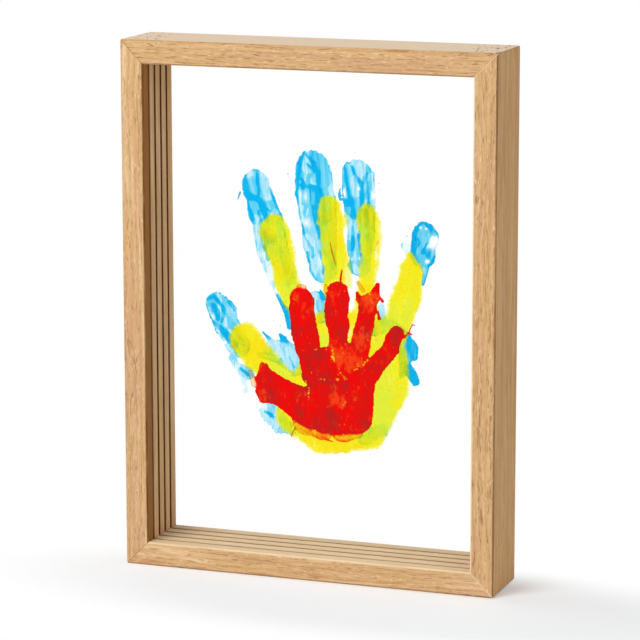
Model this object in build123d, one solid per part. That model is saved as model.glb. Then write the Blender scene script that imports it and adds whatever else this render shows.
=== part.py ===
# A deep oak shadow frame that holds clear sheets one behind another. Three of the sheets
# carry a painted handprint. The top rail lifts off, and then the sheets slide out upwards.
# Millimetres. +Z is up, the front faces -Y, the origin is the middle of the underside.
from build123d import *
import os

# Clear sheets, the size of A4 paper
sheet_width = 210.0
sheet_height = 297.0
sheet_thickness = 2.0
sheet_corner_radius = 1.0
sheet_names = ("front_sheet", "second_sheet", "third_sheet", "back_sheet")

# Oak rails: the face seen from the front, and the grooves that hold the sheets' edges
rail_width = 14.5
layer_pitch = 9.0
groove_depth = 3.6
groove_play = 0.4
groove_lip = 0.3
side_play = 0.5
top_play = 1.0
arris_radius = 1.2

# V-shaped steel nails that hold the glued bottom corners, driven in from the back
nail_leg = 5.5
nail_gauge = 0.5
nail_length = 10.0
nail_sink = 0.5
nails_per_corner = 2

# Disc magnets that hold the top rail down, let into both faces of each upper mitre
magnet_diameter = 6.0
magnet_thickness = 2.0
magnet_sink = 0.2
magnet_glue = 0.1
magnet_inset = 5.7
magnet_spacing = 27.0

# Steel pins that place the top rail: pressed into it, free in the stiles
pin_diameter = 3.0
pin_inset = 9.0
pin_grip = 7.0
pin_reach = 8.0
pin_end_chamfer = 0.4
pin_play = 0.08
pin_end_play = 2.0

# Handprints: the thickness of the paint, and each print's length and where its heel stands
# on the sheet, across from the sheet's middle and up from its lower edge
paint_thickness = 0.3
red_hand_length = 94.0
red_hand_across = 14.0
red_hand_up = 77.0
yellow_hand_length = 156.0
yellow_hand_across = 5.0
yellow_hand_up = 64.0
blue_hand_length = 176.0
blue_hand_across = 5.0
blue_hand_up = 69.0

# Shares of a hand's length from its heel. Fingers, thumb first: the tip's place across and
# up, its radius, then the same three for the root. Palms: round corners, across, up, radius.
red_finger_shares = (
    (-0.46, 0.33, 0.100, -0.20, 0.20, 0.120),
    (-0.20, 0.86, 0.083, -0.12, 0.42, 0.100),
    (0.03, 0.92, 0.078, 0.04, 0.50, 0.070),
    (0.24, 0.87, 0.065, 0.18, 0.50, 0.075),
    (0.39, 0.68, 0.065, 0.23, 0.43, 0.078),
)
red_palm_shares = (
    (-0.17, 0.16, 0.125), (0.00, 0.12, 0.120), (0.16, 0.14, 0.120),
    (0.20, 0.34, 0.100), (0.14, 0.47, 0.090), (-0.07, 0.45, 0.105), (-0.19, 0.29, 0.110),
)
yellow_finger_shares = (
    (-0.31, 0.42, 0.060, -0.11, 0.21, 0.080),
    (-0.19, 0.85, 0.058, -0.11, 0.50, 0.056),
    (0.02, 0.95, 0.050, 0.05, 0.50, 0.048),
    (0.18, 0.93, 0.048, 0.17, 0.50, 0.046),
    (0.34, 0.74, 0.060, 0.27, 0.46, 0.058),
)
yellow_palm_shares = (
    (-0.08, 0.14, 0.090), (0.02, 0.08, 0.080), (0.18, 0.10, 0.083),
    (0.26, 0.29, 0.083), (0.26, 0.47, 0.060), (-0.08, 0.48, 0.060), (-0.11, 0.24, 0.077),
)
blue_finger_shares = (
    (-0.39, 0.44, 0.048, -0.24, 0.18, 0.075),
    (-0.25, 0.87, 0.051, -0.11, 0.41, 0.060),
    (-0.04, 0.94, 0.060, 0.00, 0.40, 0.060),
    (0.11, 0.91, 0.058, 0.12, 0.40, 0.060),
    (0.33, 0.72, 0.047, 0.24, 0.38, 0.055),
)
blue_palm_shares = (
    (-0.12, 0.10, 0.090), (0.00, 0.08, 0.080), (0.16, 0.10, 0.090),
    (0.23, 0.26, 0.075), (0.21, 0.38, 0.060), (-0.10, 0.40, 0.062), (-0.24, 0.18, 0.075),
)

# One overrun takes every cut past the face that it starts from
overrun = 5.0

# Sizes that follow from the sheets
groove_width = sheet_thickness + groove_play
opening_width = sheet_width + 2 * side_play - 2 * groove_depth
opening_height = sheet_height + top_play - 2 * groove_depth
frame_width = opening_width + 2 * rail_width
frame_height = opening_height + 2 * rail_width
frame_depth = layer_pitch * (len(sheet_names) + 1)
groove_floor = rail_width - groove_depth
sheet_places = [layer_pitch * (n + 1) - frame_depth / 2 for n in range(len(sheet_names))]


def rail_section():
    """The rail's section, its outer side at zero: grooves along the inner side, edges eased."""
    section = Rectangle(frame_depth, rail_width, align=(Align.CENTER, Align.MIN))
    groove = Rectangle(groove_width, groove_depth, align=(Align.CENTER, Align.MAX))
    for place in sheet_places:
        section -= Pos(place, rail_width) * groove
    inner = section.vertices().filter_by_position(Axis.Y, rail_width, rail_width)
    edges = inner.sort_by(Axis.X)
    section = chamfer(edges[1:-1], groove_lip)
    inner = section.vertices().filter_by_position(Axis.Y, rail_width, rail_width)
    edges = inner.sort_by(Axis.X)
    return fillet([edges[0], edges[-1]], arris_radius)


def mitred_rail(length):
    """A rail along X with its outer side at zero and its inner side up, mitred at both ends."""
    bar = extrude(Plane.YZ * rail_section(), length / 2, both=True)
    half = length / 2 + overrun
    wedge = Polygon((-half, -overrun), (half, -overrun), (0, length / 2), align=None)
    return bar & extrude(Plane.XZ * wedge, frame_depth, both=True)


def eased_block():
    """The frame's outside as one block with every edge eased, which rounds the rails' outer edges."""
    block = Box(frame_width, frame_depth, frame_height)
    return Pos(0, 0, frame_height / 2) * fillet(block.edges(), arris_radius)


def corner_nails(side):
    """The nails of one bottom corner: L-shaped, with one leg in the stile and one in the rail."""
    nails = []
    leg_a = Box(nail_leg, nail_length, nail_gauge, align=(Align.MIN, Align.MAX, Align.MIN))
    leg_b = Box(nail_gauge, nail_length, nail_leg, align=(Align.MIN, Align.MAX, Align.MIN))
    for n in range(nails_per_corner):
        inset = groove_floor * (n + 1) / (nails_per_corner + 1)
        nail = Pos(inset - frame_width / 2, frame_depth / 2 - nail_sink, inset) * (leg_a + leg_b)
        nails.append(nail if side < 0 else mirror(nail, about=Plane.YZ))
    return nails


def nail_slots(side):
    """The slots that the nails cut, open to the back face."""
    slots = []
    for nail in corner_nails(side):
        section = nail.faces().sort_by(Axis.Y)[-1]
        slots += [nail, extrude(section, nail_sink + overrun, dir=(0, 1, 0))]
    return slots


def magnet_planes(side):
    """Planes on one upper mitre, facing up into the top rail, one for each pair of magnets."""
    across = side * (frame_width / 2 - magnet_inset)
    up = frame_height - magnet_inset
    return [
        Plane(origin=(across, place, up), x_dir=(0, 1, 0), z_dir=(-side, 0, 1))
        for place in (-magnet_spacing / 2, magnet_spacing / 2)
    ]


def mitre_magnets(side, into):
    """The discs on one side of a mitre: into is 1 for the top rail and -1 for the stile."""
    disc = Cylinder(magnet_diameter / 2, magnet_thickness)
    centre = into * (magnet_sink + magnet_thickness / 2)
    return [plane * Pos(0, 0, centre) * disc for plane in magnet_planes(side)]


def magnet_pockets(side, into):
    """The round pockets that the discs are glued into."""
    deep = magnet_sink + magnet_thickness
    drill = Cylinder(magnet_diameter / 2 + magnet_glue, deep + overrun)
    centre = into * (deep - overrun) / 2
    return [plane * Pos(0, 0, centre) * drill for plane in magnet_planes(side)]


def pin_place(side):
    """Where a locating pin's axis meets the mitre."""
    return Pos(side * (frame_width / 2 - pin_inset), 0, frame_height - pin_inset)


def locating_pin(side):
    pin = Cylinder(pin_diameter / 2, pin_grip + pin_reach)
    pin = chamfer(pin.edges(), pin_end_chamfer)
    return pin_place(side) * Pos(0, 0, (pin_grip - pin_reach) / 2) * pin


def rail_pin_hole(side):
    """A tight blind hole, up from the mitre into the top rail."""
    drill = Cylinder(pin_diameter / 2, pin_grip + overrun)
    return pin_place(side) * Pos(0, 0, (pin_grip - overrun) / 2) * drill


def stile_pin_hole(side):
    """A free blind hole, down from the mitre into the stile, deeper than the pin reaches."""
    deep = pin_reach + pin_end_play
    drill = Cylinder(pin_diameter / 2 + pin_play, deep + overrun)
    return pin_place(side) * Pos(0, 0, (overrun - deep) / 2) * drill


def clear_sheet(place):
    """A sheet in the groove at the given depth, standing on the bottom groove's floor."""
    outline = RectangleRounded(sheet_width, sheet_height, sheet_corner_radius)
    front = Plane(origin=(0, place, groove_floor + sheet_height / 2), x_dir=(1, 0, 0), z_dir=(0, -1, 0))
    return extrude(front * outline, sheet_thickness / 2, both=True)


def round_span(circles):
    """The face inside a band stretched round circles given as (across, up, radius)."""
    return make_hull([(Pos(x, z) * Circle(r)).edge() for x, z, r in circles])


def handprint(place, length, across, up, finger_shares, palm_shares):
    """A paint film in the shape of a hand, on the front face of the sheet at the given depth."""
    outline = round_span([(x * length, z * length, r * length) for x, z, r in palm_shares])
    for shares in finger_shares:
        tip_x, tip_z, tip_r, root_x, root_z, root_r = [share * length for share in shares]
        outline += round_span([(tip_x, tip_z, tip_r), (root_x, root_z, root_r)])
    heel = (across, place - sheet_thickness / 2, groove_floor + up)
    front = Plane(origin=heel, x_dir=(1, 0, 0), z_dir=(0, -1, 0))
    return extrude(front * outline, paint_thickness)


parts = {}

# The frame: two stiles and a bottom rail glued and nailed together, and the loose top rail
block = eased_block()
long_rail = mitred_rail(frame_height)
short_rail = mitred_rail(frame_width)
for name, side in (("left", -1), ("right", 1)):
    stile = Pos(side * frame_width / 2, 0, frame_height / 2) * Rot(0, -side * 90, 0) * long_rail
    stile = (stile & block) - nail_slots(side) - magnet_pockets(side, -1) - stile_pin_hole(side)
    parts[f"{name}_stile"] = stile
parts["bottom_rail"] = (short_rail & block) - nail_slots(-1) - nail_slots(1)
top_rail = Pos(0, 0, frame_height) * Rot(0, 180, 0) * short_rail & block
for side in (-1, 1):
    top_rail = top_rail - magnet_pockets(side, 1) - rail_pin_hole(side)
parts["top_rail"] = top_rail

# The corner fittings
for name, side in (("left", -1), ("right", 1)):
    parts[f"{name}_corner_nails"] = Compound(corner_nails(side))
    parts[f"{name}_stile_magnets"] = Compound(mitre_magnets(side, -1))
    parts[f"top_rail_{name}_magnets"] = Compound(mitre_magnets(side, 1))
    parts[f"{name}_locating_pin"] = locating_pin(side)

# The sheets, front to back, and the prints on the first three
for name, place in zip(sheet_names, sheet_places):
    parts[name] = clear_sheet(place)
front_place, second_place, third_place = sheet_places[:3]
parts["red_handprint"] = handprint(
    front_place, red_hand_length, red_hand_across, red_hand_up, red_finger_shares, red_palm_shares)
parts["yellow_handprint"] = handprint(
    second_place, yellow_hand_length, yellow_hand_across, yellow_hand_up,
    yellow_finger_shares, yellow_palm_shares)
parts["blue_handprint"] = handprint(
    third_place, blue_hand_length, blue_hand_across, blue_hand_up,
    blue_finger_shares, blue_palm_shares)

os.makedirs("parts", exist_ok=True)
for name, shape in parts.items():
    export_step(shape, f"parts/{name}.step")
print(f"frame {frame_width:.1f} wide, {frame_depth:.1f} deep, {frame_height:.1f} high")
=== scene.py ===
import math

import bpy
import numpy as np
from mathutils import Matrix, Vector


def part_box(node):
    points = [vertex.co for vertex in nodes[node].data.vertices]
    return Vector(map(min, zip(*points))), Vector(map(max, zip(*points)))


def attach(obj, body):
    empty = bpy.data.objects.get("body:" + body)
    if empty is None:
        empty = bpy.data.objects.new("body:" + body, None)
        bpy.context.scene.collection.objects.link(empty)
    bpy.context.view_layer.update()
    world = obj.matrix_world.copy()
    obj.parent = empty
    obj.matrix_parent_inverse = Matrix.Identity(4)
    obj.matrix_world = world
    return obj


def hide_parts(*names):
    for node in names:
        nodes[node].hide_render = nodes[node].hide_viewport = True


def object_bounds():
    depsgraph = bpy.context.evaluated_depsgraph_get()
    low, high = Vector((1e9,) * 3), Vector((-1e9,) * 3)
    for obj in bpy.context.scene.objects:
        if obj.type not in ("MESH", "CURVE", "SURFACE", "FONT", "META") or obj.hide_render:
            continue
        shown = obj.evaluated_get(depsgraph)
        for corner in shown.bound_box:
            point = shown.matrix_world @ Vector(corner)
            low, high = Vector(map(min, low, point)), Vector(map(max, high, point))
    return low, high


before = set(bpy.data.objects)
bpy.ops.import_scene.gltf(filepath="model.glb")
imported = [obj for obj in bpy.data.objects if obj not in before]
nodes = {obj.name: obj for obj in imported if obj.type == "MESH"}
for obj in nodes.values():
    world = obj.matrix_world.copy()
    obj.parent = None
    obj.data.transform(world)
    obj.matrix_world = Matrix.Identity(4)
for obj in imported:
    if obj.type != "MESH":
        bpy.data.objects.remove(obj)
cad_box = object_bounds()
mm = 0.001


# The frame's two stiles and two rails: pale oak, moulded with four grooves, mitred, sanded and
# rubbed with a matt oil. The lower mitres are glued. The faces show flat-sawn figure, with fine
# dark pores and pale flecks, and the edges straight grain. The grooves are darkened with painted
# shade, and painted shade and highlights lie along arrises, on the window's front lip and on the
# edges.
oak_body = (223, 181, 131)
oak_pale = (240, 203, 158)
oak_dark = (190, 144, 94)
oak_pore = (156, 110, 62)
# Pale flecks in the grain; the same colour paints the highlights on lit arrises.
oak_fleck_and_highlight = (248, 222, 182)
oak_pink = (216, 168, 130)
# Dark brown for painted shade with some wear on the arrises, and for the mitre joint lines.
oak_shade_wear_and_joint = (120, 74, 30)
# Painted shade for the grooves' walls and floors.
oak_groove_shade = (98, 56, 16)
# Painted shade for the window's front lip, in front of the first sheet.
oak_painted_lip_shade = (150, 98, 42)
# Painted light for the rails' top, bottom and inner faces, palest on the top rail, and painted shade for
# the right stile's sides.
oak_edge_light = (240, 216, 178)
oak_top_light = (255, 233, 204)
oak_side_shade = (222, 168, 98)
oak_pit = (96, 64, 34)
ring_width = 3.4 * mm
ring_wander = 11.0 * mm
figure_size = (110 * mm, 13 * mm, 13 * mm)
band_size = (60 * mm, 5 * mm, 5 * mm)
blush_size = (90 * mm, 6 * mm, 6 * mm)
fibre_size = (26 * mm, 1.2 * mm, 1.2 * mm)
dash_size = (6.5 * mm, 0.62 * mm, 0.62 * mm)
pore_size = (3.2 * mm, 0.36 * mm, 0.36 * mm)
fleck_size = (4.2 * mm, 0.8 * mm, 0.8 * mm)
wear_size = (22 * mm, 6 * mm, 6 * mm)
pit_size = (1.5 * mm, 4 * mm, 6 * mm)
pit_reach = 28 * mm
pit_crowd = 18 * mm
skin_near = 0.4 * mm
skin_full = 0.2 * mm
arris_inside = 0.55 * mm
arris_outside = 1.3 * mm
mitre_line = 0.35 * mm
mitre_rim = 0.5 * mm
# The span of the grooves' painted shade, out from the window and in from the faces.
groove_shade_start = 0.25 * mm
groove_shade_end = 4.6 * mm
groove_shade_deepest = 4 * mm
groove_shade_shallow = 5 * mm
first_groove_near = 3 * mm
first_groove_past = 4 * mm
oak_relief = 0.1 * mm
outline_low, outline_high = cad_box
outline_middle = (outline_low + outline_high) / 2
rail_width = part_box("bottom_rail")[1].z
open_half_width = (outline_high.x - outline_low.x) / 2 - rail_width
open_half_height = (outline_high.z - outline_low.z) / 2 - rail_width
half_depth = (outline_high.y - outline_low.y) / 2
front_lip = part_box("front_sheet")[0].y - outline_low.y


def add(tree, kind, sockets=None, **settings):
    """One node of a tree. Each of its sockets takes a plain value or a link from another node."""
    node = tree.nodes.new(kind)
    for key, value in settings.items():
        setattr(node, key, value)
    for key, value in (sockets or {}).items():
        if isinstance(value, bpy.types.NodeSocket):
            tree.links.new(value, node.inputs[key])
        else:
            node.inputs[key].default_value = value
    return node


def calc(tree, operation, *values):
    """The result of one sum of numbers."""
    return add(tree, "ShaderNodeMath", dict(enumerate(values)), operation=operation).outputs[0]


def product(tree, first, *others):
    """Numbers multiplied together."""
    for other in others:
        first = calc(tree, "MULTIPLY", first, other)
    return first


def ease(tree, value, low, high, low_out=0.0, high_out=1.0):
    """A smooth step from low_out to high_out, as value goes from low to high."""
    sockets = {0: value, 1: low, 2: high, 3: low_out, 4: high_out}
    return add(tree, "ShaderNodeMapRange", sockets, interpolation_type="SMOOTHSTEP").outputs[0]


def colour(red, green, blue):
    """A colour written as a screen shows it, from 0 to 255, as the light that it stands for."""
    shares = [value / 255 for value in (red, green, blue)]
    light = [s / 12.92 if s < 0.04045 else ((s + 0.055) / 1.055) ** 2.4 for s in shares]
    return (*light, 1.0)


def tint(tree, share, first, second):
    """The first colour, going over to the second by share. Each is written from 0 to 255 or linked."""
    first, second = (colour(*c) if isinstance(c, tuple) else c for c in (first, second))
    return add(tree, "ShaderNodeMix", {0: share, 6: first, 7: second}, data_type="RGBA").outputs[2]


def vector(tree, operation, first, second):
    """The result of one sum of vectors."""
    return add(tree, "ShaderNodeVectorMath", {0: first, 1: second}, operation=operation).outputs[0]


def mottle(tree, place, sizes, seed, detail=2.0, rough=0.5):
    """Noise from 0 to 1 with bumps of the given sizes along each axis."""
    counts = tuple(1 / size for size in sizes)
    sockets = {"Vector": vector(tree, "MULTIPLY", place, counts), "W": seed, "Scale": 1.0,
               "Detail": detail, "Roughness": rough}
    return add(tree, "ShaderNodeTexNoise", sockets, noise_dimensions="4D")


def new_material(name, **plain):
    """A material with one Principled shader, and the plain values of its sockets."""
    material = bpy.data.materials.new(name)
    material.use_nodes = True
    shader = material.node_tree.nodes["Principled BSDF"]
    for key, value in plain.items():
        shader.inputs[key.replace("_", " ")].default_value = value
    return material, material.node_tree, shader


def dress(material, *names):
    """Gives CAD nodes a finish."""
    for name in names:
        nodes[name].data.materials.clear()
        nodes[name].data.materials.append(material)


def oak(name, upright, heart, seed, outer_shade_and_wear, inner_shade_and_wear, inner_highlight, lip_painted_shade, groove_shade,
        edge_light_tint, edge_share, pitted, paleness, streaked):
    """Oak with its grain up or across, cut so that the log's heart lies off by heart.

    The arrises carry painted shade with some wear, or a painted highlight. The front lip of the
    window and the grooves carry painted shade. The edges take painted light or shade by how they
    face, and the wood is pitted, pale and streaked, each by its share.
    """
    material, tree, shader = new_material(name, IOR=1.45, Specular_IOR_Level=0.015)
    place = add(tree, "ShaderNodeTexCoord").outputs["Object"]
    middle = (0, 0, -outline_middle.z)
    centred = add(tree, "ShaderNodeMapping", {"Vector": place, "Location": middle}).outputs[0]
    turn = (0, math.pi / 2, 0) if upright else (0, 0, 0)
    grain = add(tree, "ShaderNodeMapping", {"Vector": centred, "Rotation": turn,
                                            "Location": (seed * 0.37, *heart)}).outputs[0]
    across, deep, up = add(tree, "ShaderNodeSeparateXYZ", {0: centred}).outputs
    off_side = calc(tree, "SUBTRACT", calc(tree, "ABSOLUTE", across), open_half_width)
    off_end = calc(tree, "SUBTRACT", calc(tree, "ABSOLUTE", up), open_half_height)
    outward = calc(tree, "MAXIMUM", off_side, off_end)
    behind = calc(tree, "ADD", deep, half_depth)
    off_middle = calc(tree, "ABSOLUTE", deep)
    faces = ease(tree, off_middle, half_depth - arris_outside, half_depth - arris_inside)

    wander = mottle(tree, grain, figure_size, seed, detail=2.0).outputs["Color"]
    wander = vector(tree, "MULTIPLY", vector(tree, "SUBTRACT", wander, (0.5, 0.5, 0.5)),
                    (0.0, ring_wander, ring_wander))
    bent = vector(tree, "ADD", grain, wander)
    flat = vector(tree, "MULTIPLY", bent, (0.0, 1.0, 1.0))
    radius = add(tree, "ShaderNodeVectorMath", {0: flat}, operation="LENGTH").outputs["Value"]
    ring = calc(tree, "FRACT", calc(tree, "DIVIDE", radius, ring_width))
    spring = product(tree, ease(tree, ring, 0.0, 0.15), ease(tree, ring, 0.2, 0.8, 1.0, 0.0))

    bands = mottle(tree, bent, band_size, seed + 1.3).outputs[0]
    blush = mottle(tree, bent, blush_size, seed + 8.3).outputs[0]
    fibre = mottle(tree, bent, fibre_size, seed + 2.1, detail=3.0, rough=0.65).outputs[0]
    dashes = mottle(tree, bent, dash_size, seed + 3.7, detail=1.0).outputs[0]
    pores = mottle(tree, bent, pore_size, seed + 4.2, detail=1.0).outputs[0]
    flecks = mottle(tree, bent, fleck_size, seed + 5.9, detail=1.0).outputs[0]

    wood = tint(tree, ease(tree, bands, 0.42, 0.66, 0.0, paleness), oak_body, oak_pale)
    wood = tint(tree, ease(tree, blush, 0.5, 0.66, 0.0, 0.6), wood, oak_pink)
    wood = tint(tree, ease(tree, fibre, 0.5, 0.68, 0.0, 0.8 * streaked), wood, oak_dark)
    rings = product(tree, spring, calc(tree, "MULTIPLY_ADD", faces, -0.09, 0.45))
    wood = tint(tree, rings, wood, oak_dark)
    wood = tint(tree, product(tree, faces, ease(tree, flecks, 0.6, 0.7, 0.0, 0.45)), wood, oak_fleck_and_highlight)
    open_pore = calc(tree, "MAXIMUM", product(tree, ease(tree, dashes, 0.6, 0.68), faces),
                     ease(tree, pores, 0.62, 0.72, 0.0, 0.6))
    wood = tint(tree, calc(tree, "MULTIPLY", open_pore, 0.56 * streaked), wood, oak_pore)
    # Painted light or shade on all but the front and back faces: paler on the rails, darker and warmer
    # on the right stile; on the left stile only a pull towards its body colour.
    wood = tint(tree, calc(tree, "MULTIPLY_ADD", faces, -edge_share, edge_share), wood, edge_light_tint)
    near_end = ease(tree, calc(tree, "ABSOLUTE", across), outline_high.x - pit_reach,
                    outline_high.x - pit_crowd)
    outside = ease(tree, outward, rail_width - skin_near, rail_width - skin_full)
    pits = mottle(tree, centred, pit_size, seed + 7.7, detail=0.0).outputs[0]
    pits = product(tree, ease(tree, pits, 0.67, 0.72), pitted, near_end, outside)
    wood = tint(tree, pits, wood, oak_pit)

    # Painted shade on the window's inner walls in front of the front sheet.
    lip = product(tree, ease(tree, outward, 0.0, groove_shade_start, 1.0, 0.0),
                  ease(tree, behind, front_lip - skin_near, front_lip, 1.0, 0.0))
    wood = tint(tree, calc(tree, "MULTIPLY", lip, lip_painted_shade), wood, oak_painted_lip_shade)
    uneven = mottle(tree, grain, wear_size, seed + 6.4, detail=3.0).outputs[0]
    uneven = ease(tree, uneven, 0.3, 0.6, 0.65, 1.0)
    inner = ease(tree, calc(tree, "MAXIMUM", outward, behind), arris_inside, arris_outside, 1.0, 0.0)
    # Painted shade, with some wear, along the window's inner arrises of the left stile and top rail.
    wood = tint(tree, product(tree, inner, uneven, inner_shade_and_wear), wood, oak_shade_wear_and_joint)
    # Painted highlight along the window's lit inner arrises of the right stile and bottom rail.
    wood = tint(tree, product(tree, inner, uneven, inner_highlight), wood, oak_fleck_and_highlight)
    # Painted shade, with some wear, along the outer arrises, strongest at the right stile's front
    # corner.
    outer = calc(tree, "MAXIMUM", calc(tree, "SUBTRACT", rail_width, outward), behind)
    outer = ease(tree, outer, arris_inside, arris_outside, 1.0, 0.0)
    wood = tint(tree, product(tree, outer, uneven, outer_shade_and_wear), wood, oak_shade_wear_and_joint)

    off_mitre = calc(tree, "ABSOLUTE", calc(tree, "SUBTRACT", off_side, off_end))
    # Painted highlight beside the right-hand mitre lines on the front and back faces.
    rounded = ease(tree, off_mitre, mitre_line, 3 * mitre_line, 0.7 * inner_highlight, 0.0)
    rounded = product(tree, rounded, faces, ease(tree, across, 0.0, open_half_width))
    wood = tint(tree, rounded, wood, oak_fleck_and_highlight)
    under_face = calc(tree, "SUBTRACT", half_depth, off_middle)
    under_edge = calc(tree, "MINIMUM", calc(tree, "SUBTRACT", rail_width, outward), outward)
    under = calc(tree, "MINIMUM", under_face, under_edge)
    joint = product(tree, ease(tree, off_mitre, 0.0, mitre_line, 1.0, 0.0),
                    ease(tree, under, mitre_rim, 2 * mitre_rim, 1.0, 0.0),
                    ease(tree, across, -open_half_width, open_half_width, 0.85, 0.45))
    wood = tint(tree, joint, wood, oak_shade_wear_and_joint)
    # Painted shade in the grooves, a little weaker in the first groove.
    groove_shade_mask = product(tree, ease(tree, outward, 0.0, groove_shade_start),
                       ease(tree, outward, groove_shade_end - groove_shade_start, groove_shade_end, 1.0, 0.0),
                       ease(tree, off_mitre, mitre_line, 2 * mitre_line),
                       ease(tree, off_middle, half_depth - groove_shade_shallow, half_depth - groove_shade_deepest,
                            1.0, 0.0))
    first = ease(tree, behind, front_lip + first_groove_near, front_lip + first_groove_past,
                 0.7 * groove_shade, groove_shade)
    wood = tint(tree, product(tree, groove_shade_mask, first), wood, oak_groove_shade)
    tree.links.new(wood, shader.inputs["Base Color"])

    dull = calc(tree, "MULTIPLY_ADD", open_pore, 0.25, 0.5)
    tree.links.new(dull, shader.inputs["Roughness"])
    relief = calc(tree, "SUBTRACT", calc(tree, "MULTIPLY", fibre, 0.3), open_pore)
    bump = add(tree, "ShaderNodeBump", {"Height": relief, "Strength": 0.3, "Distance": oak_relief})
    tree.links.new(bump.outputs[0], shader.inputs["Normal"])
    return material


# Per rail, the shares set painted shade and highlights on arrises, lip and grooves, and painted light or
# shade on the edges.
dress(oak("oak_left", upright=True, heart=(-52 * mm, 31 * mm), seed=1.0,
          outer_shade_and_wear=0.1, inner_shade_and_wear=1.0, inner_highlight=0.0, lip_painted_shade=0.9, groove_shade=0.95,
          edge_light_tint=oak_body, edge_share=0.3, pitted=0.0, paleness=0.8, streaked=1.05),
      "left_stile")
dress(oak("oak_right", upright=True, heart=(47 * mm, -36 * mm), seed=4.0,
          outer_shade_and_wear=0.7, inner_shade_and_wear=0.0, inner_highlight=1.0, lip_painted_shade=0.9, groove_shade=0.95,
          edge_light_tint=oak_side_shade, edge_share=0.22, pitted=0.0, paleness=0.2, streaked=1.25),
      "right_stile")
dress(oak("oak_bottom", upright=False, heart=(61 * mm, 24 * mm), seed=7.0,
          outer_shade_and_wear=0.5, inner_shade_and_wear=0.0, inner_highlight=0.9, lip_painted_shade=0.0, groove_shade=0.5,
          edge_light_tint=oak_edge_light, edge_share=0.65, pitted=0.0, paleness=0.95, streaked=1.05),
      "bottom_rail")
dress(oak("oak_top", upright=False, heart=(-49 * mm, -351 * mm), seed=10.0,
          outer_shade_and_wear=0.08, inner_shade_and_wear=0.4, inner_highlight=0.0, lip_painted_shade=0.0, groove_shade=0.5,
          edge_light_tint=oak_top_light, edge_share=0.78, pitted=0.75, paleness=0.1, streaked=1.25),
      "top_rail")


# The nails across the lower mitres, and the pins that place the top rail: drawn steel wire and
# strip, bright, with fine scratches that run along the draw.
steel_bright = (196, 197, 199)
steel_dull = (140, 141, 144)
draw_mark_size = (0.08 * mm, 0.08 * mm, 4 * mm)
stain_size = (3 * mm, 3 * mm, 3 * mm)
steel_relief = 0.02 * mm

steel, tree, shader = new_material("drawn_steel", Metallic=1.0)
place = add(tree, "ShaderNodeTexCoord").outputs["Object"]
draw_marks = mottle(tree, place, draw_mark_size, 1.0, detail=3.0).outputs[0]
stain = mottle(tree, place, stain_size, 2.0).outputs[0]
stained = tint(tree, ease(tree, stain, 0.4, 0.75), steel_bright, steel_dull)
tree.links.new(stained, shader.inputs["Base Color"])
tree.links.new(ease(tree, draw_marks, 0.3, 0.7, 0.22, 0.42), shader.inputs["Roughness"])
bump = add(tree, "ShaderNodeBump", {"Height": draw_marks, "Strength": 0.2, "Distance": steel_relief})
tree.links.new(bump.outputs[0], shader.inputs["Normal"])
dress(steel, "left_corner_nails", "right_corner_nails", "left_locating_pin", "right_locating_pin")


# The disc magnets that hold the top rail down: pressed, ground and nickel plated, with a small
# chamfer on each edge. Each pair is glued into pockets, a little below the face of its mitre.
magnet_radius = 3.0 * mm
magnet_height = 2.0 * mm
magnet_chamfer = 0.25 * mm
magnet_sides = 48
magnet_count = 2
mitre_turn = math.pi / 4
plating_pale = (205, 203, 196)
plating_dark = (168, 166, 160)
haze_size = (1.2 * mm, 1.2 * mm, 1.2 * mm)
weld_distance = 0.01 * mm

plating, tree, shader = new_material("nickel_plating", Metallic=1.0)
place = add(tree, "ShaderNodeTexCoord").outputs["Object"]
haze = mottle(tree, place, haze_size, 3.0, detail=3.0).outputs[0]
hazed = tint(tree, ease(tree, haze, 0.35, 0.7), plating_pale, plating_dark)
tree.links.new(hazed, shader.inputs["Base Color"])
tree.links.new(ease(tree, haze, 0.3, 0.7, 0.12, 0.3), shader.inputs["Roughness"])


def geometry_tree(name, inputs):
    """An empty Geometry Nodes tree with named inputs, and its group input node."""
    tree = bpy.data.node_groups.new(name, "GeometryNodeTree")
    tree.interface.new_socket("Geometry", in_out="OUTPUT", socket_type="NodeSocketGeometry")
    tree.interface.new_socket("Geometry", in_out="INPUT", socket_type="NodeSocketGeometry")
    for label, kind in inputs.items():
        tree.interface.new_socket(label, in_out="INPUT", socket_type="NodeSocket" + kind)
    return tree, add(tree, "NodeGroupInput").outputs


def finish_tree(tree, instances, material):
    """Turns a tree's instances into one mesh, gives it its finish and hands it out."""
    real = add(tree, "GeometryNodeRealizeInstances", {0: instances}).outputs[0]
    done = add(tree, "GeometryNodeSetMaterial", {"Geometry": real, "Material": material}).outputs[0]
    add(tree, "NodeGroupOutput", {0: done})


def grown(name, tree, start, values):
    """A plain mesh object of what a Geometry Nodes tree makes from a start mesh and named values."""
    piece = bpy.data.objects.new(name, start)
    bpy.context.scene.collection.objects.link(piece)
    modifier = piece.modifiers.new(name, "NODES")
    modifier.node_group = tree
    for item in tree.interface.items_tree:
        if item.in_out == "INPUT" and item.name in values:
            modifier[item.identifier] = values[item.name]
    evaluated = piece.evaluated_get(bpy.context.evaluated_depsgraph_get())
    mesh = bpy.data.meshes.new_from_object(evaluated)
    piece.modifiers.clear()
    piece.data = mesh
    mesh.name = name
    return piece


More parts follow.
